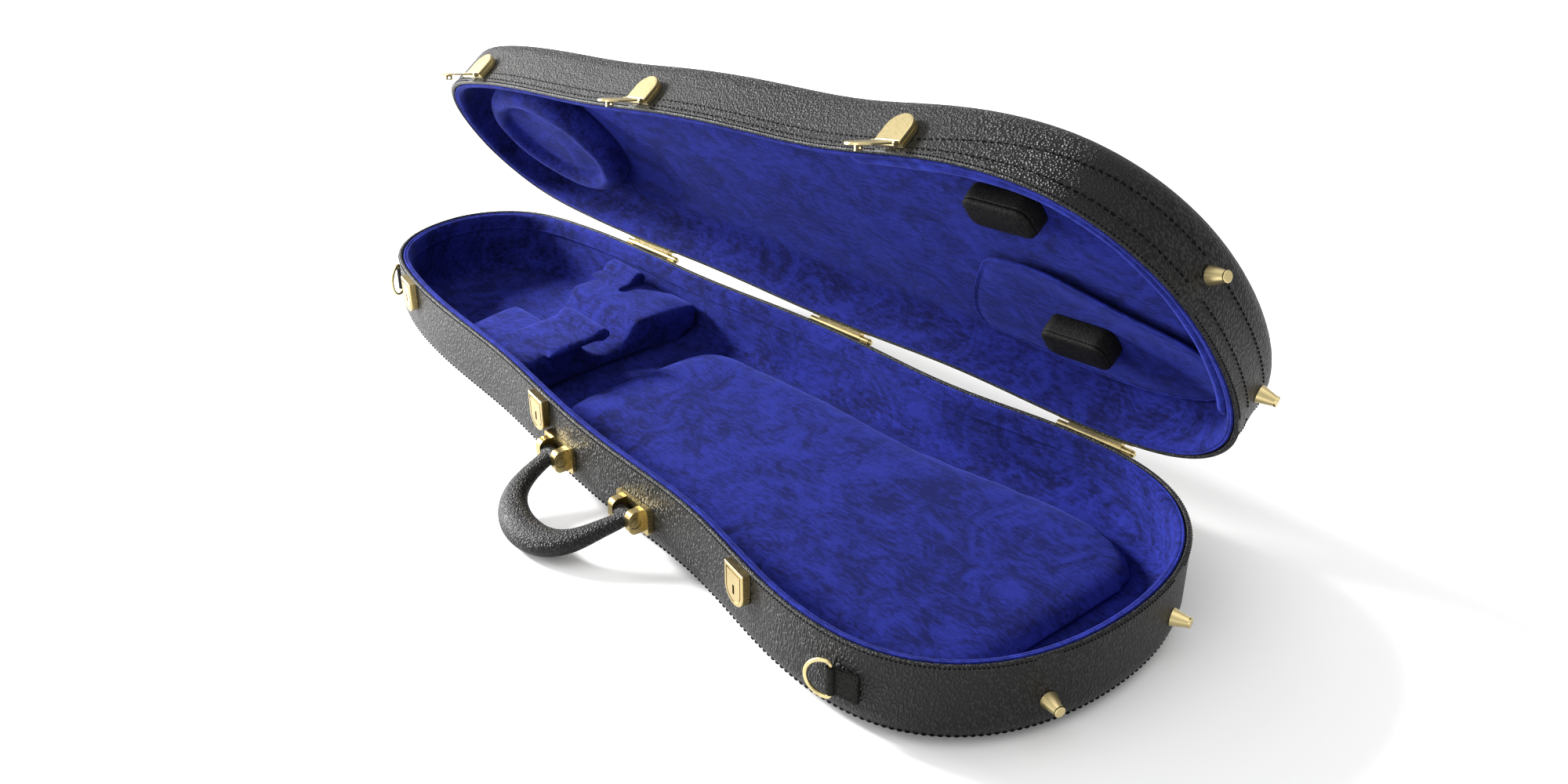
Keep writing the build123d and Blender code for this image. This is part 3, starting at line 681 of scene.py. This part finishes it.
# low is the face towards the violin, top the face on the lid, with the lid shut
for side, x, y, low, top in (("front", 231, -62, RIM + 19.2, CEILING - 0.4),
                             ("back", 243, 62, RIM + 14.2, CEILING - 3.8)):
    outline = rounded(51.6, 25.6, 8.6) + (x, y)
    spine = np.stack([x + (outline[:, 0] - x) * 0.5, np.full(len(outline), float(y))], 1)
    block = profiled(f"hold_down_block_{side}", outline, spine, [
        (0.5, top, 1.0), (0.5, top, 0), (0, top - 1, 0), (-0.1, top - 5, 0), (0, low + 4.2, 0),
        (0.3, low + 3.7, 0), (0.9, low + 3.3, 0), (0.4, low + 2.9, 0), (0.5, low + 2.0, 0),
        (1.1, low + 1.0, 0), (2.2, low + 0.3, 0), (3.8, low, 0), (6, low - 0.2, 0), (7, low - 0.3, 0),
        (7, low - 0.7, 0.4), (7, low - 0.8, 1.0)])
    open_lid(block)
    finish_piece(block, LEATHER, "lid", [f"hold_down_{side}"])
    seam = stitches(f"hold_down_seam_{side}", ring(outline, outward(outline), spine, 0.85, low + 3.3),
                    np.column_stack([outward(outline), 0 * outline[:, 0]]),
                    pitch=3.0, length=1.9, thick=0.28, proud=0.12)
    open_lid(seam)
    finish_piece(seam, THREAD, "lid")


# ---------------------------------------------------------------- sewing
def wall_row(name, heights, body, inset=0.0, tilt=0.0, **look):
    """Stitches right round the case wall, at a height worked out for each point of the outline."""
    z = np.array([heights(x) for x in CASE[:, 0]])
    path = np.column_stack([CASE - CASE_OUT * inset, z])
    normals = np.column_stack([CASE_OUT * math.cos(tilt), 0 * z + math.sin(tilt)])
    row = stitches(name, path, normals, **look)
    if body == "lid":
        open_lid(row)
    finish_piece(row, THREAD, body)


wall_row("lid_stitch_rim", lambda x: RIM + 5.2 + 6.3 * ease(x, 180, 360), "lid",
         proud=0.2, thick=0.52, skip=under_fitting)
wall_row("lid_stitch_upper", lambda x: RIM + 11.0 + 19 * ease(x, 180, 360), "lid",
         proud=0.2, thick=0.52, skip=under_fitting)
wall_row("base_stitch_foot", lambda x: 8.0, "base", inset=3.0, tilt=-0.58, proud=0.45, thick=0.55)
wall_row("base_whip", lambda x: RIM - 1.5, "base",
         pitch=2.7, length=1.7, thick=0.55, proud=0.2, skip=under_fitting)
wall_row("lid_whip", lambda x: RIM + 1.9, "lid",
         pitch=2.7, length=1.7, thick=0.55, proud=0.2, skip=under_fitting)

# round the free end of each strap-ring tab: distance from the ring's bar and height from its middle
TAB_SEAM = [(5, -7.6), (8, -7.7), (12, -7.7), (15.4, -7.6), (16.2, -6.8), (16.3, -3), (16.3, 0), (16.3, 3),
            (16.2, 6.8), (15.4, 7.6), (12, 7.7), (8, 7.7), (5, 7.6)]
TAB_THICK = 2.65
for name, x in DRING_X.items():
    toward = 1 if name == "narrow" else -1
    path, normals = [], []
    for step, rise in TAB_SEAM:
        point, normal = front_wall(x, toward * step, TAB_THICK)
        path.append((*point, DRING_Z + rise))
        normals.append((*normal, 0.0))
    tab_row = stitches(f"tab_stitch_{name}", path, normals,
                       pitch=2.9, length=1.9, thick=0.3, closed=False, proud=0.1)
    finish_piece(tab_row, THREAD, "base")

# ---------------------------------------------------------------- stage and light
FLOOR_HALF = 25.0
floor_corners = [(x * FLOOR_HALF, y * FLOOR_HALF, 0) for x, y in ((-1, -1), (1, -1), (1, 1), (-1, 1))]
floor_mesh = new_object("floor", floor_corners, [(0, 1, 2, 3)], smooth=False)
floor_mat, _, floor_shader = material("floor", Roughness=0.9)
floor_shader.inputs["Base Color"].default_value = (0.86, 0.86, 0.86, 1)
floor_mesh.data.materials.append(floor_mat)

world = bpy.data.worlds.new("studio")
scene.world = world
world.use_nodes = True
world.node_tree.nodes["Background"].inputs["Color"].default_value = (1, 1, 1, 1)
world.node_tree.nodes["Background"].inputs["Strength"].default_value = 0.8


def area_light(name, place_at, target, size, power):
    """Rectangular lamp aimed at a target; places and sizes in metres, power in watts."""
    data = bpy.data.lights.new(name, "AREA")
    data.shape, data.size, data.size_y, data.energy = "RECTANGLE", size[0], size[1], power
    lamp = bpy.data.objects.new(name, data)
    lamp.location = place_at
    lamp.rotation_mode = "QUATERNION"
    lamp.rotation_quaternion = (Vector(target) - Vector(place_at)).to_track_quat("-Z", "Y")
    scene.collection.objects.link(lamp)


area_light("key", (-2.0, -0.75, 0.95), (-0.1, 0, 0.15), (0.45, 0.45), 172)
area_light("low_key", (-2.1, -1.05, 0.32), (-0.1, -0.1, 0.05), (0.35, 0.35), 44)
area_light("fill", (0.3, -2.2, 1.0), (0, 0, 0.15), (1.4, 1.0), 12)
area_light("top", (0, -0.2, 3.2), (0, -0.1, 0), (4.0, 4.0), 48)
scene.view_settings.view_transform = "Standard"
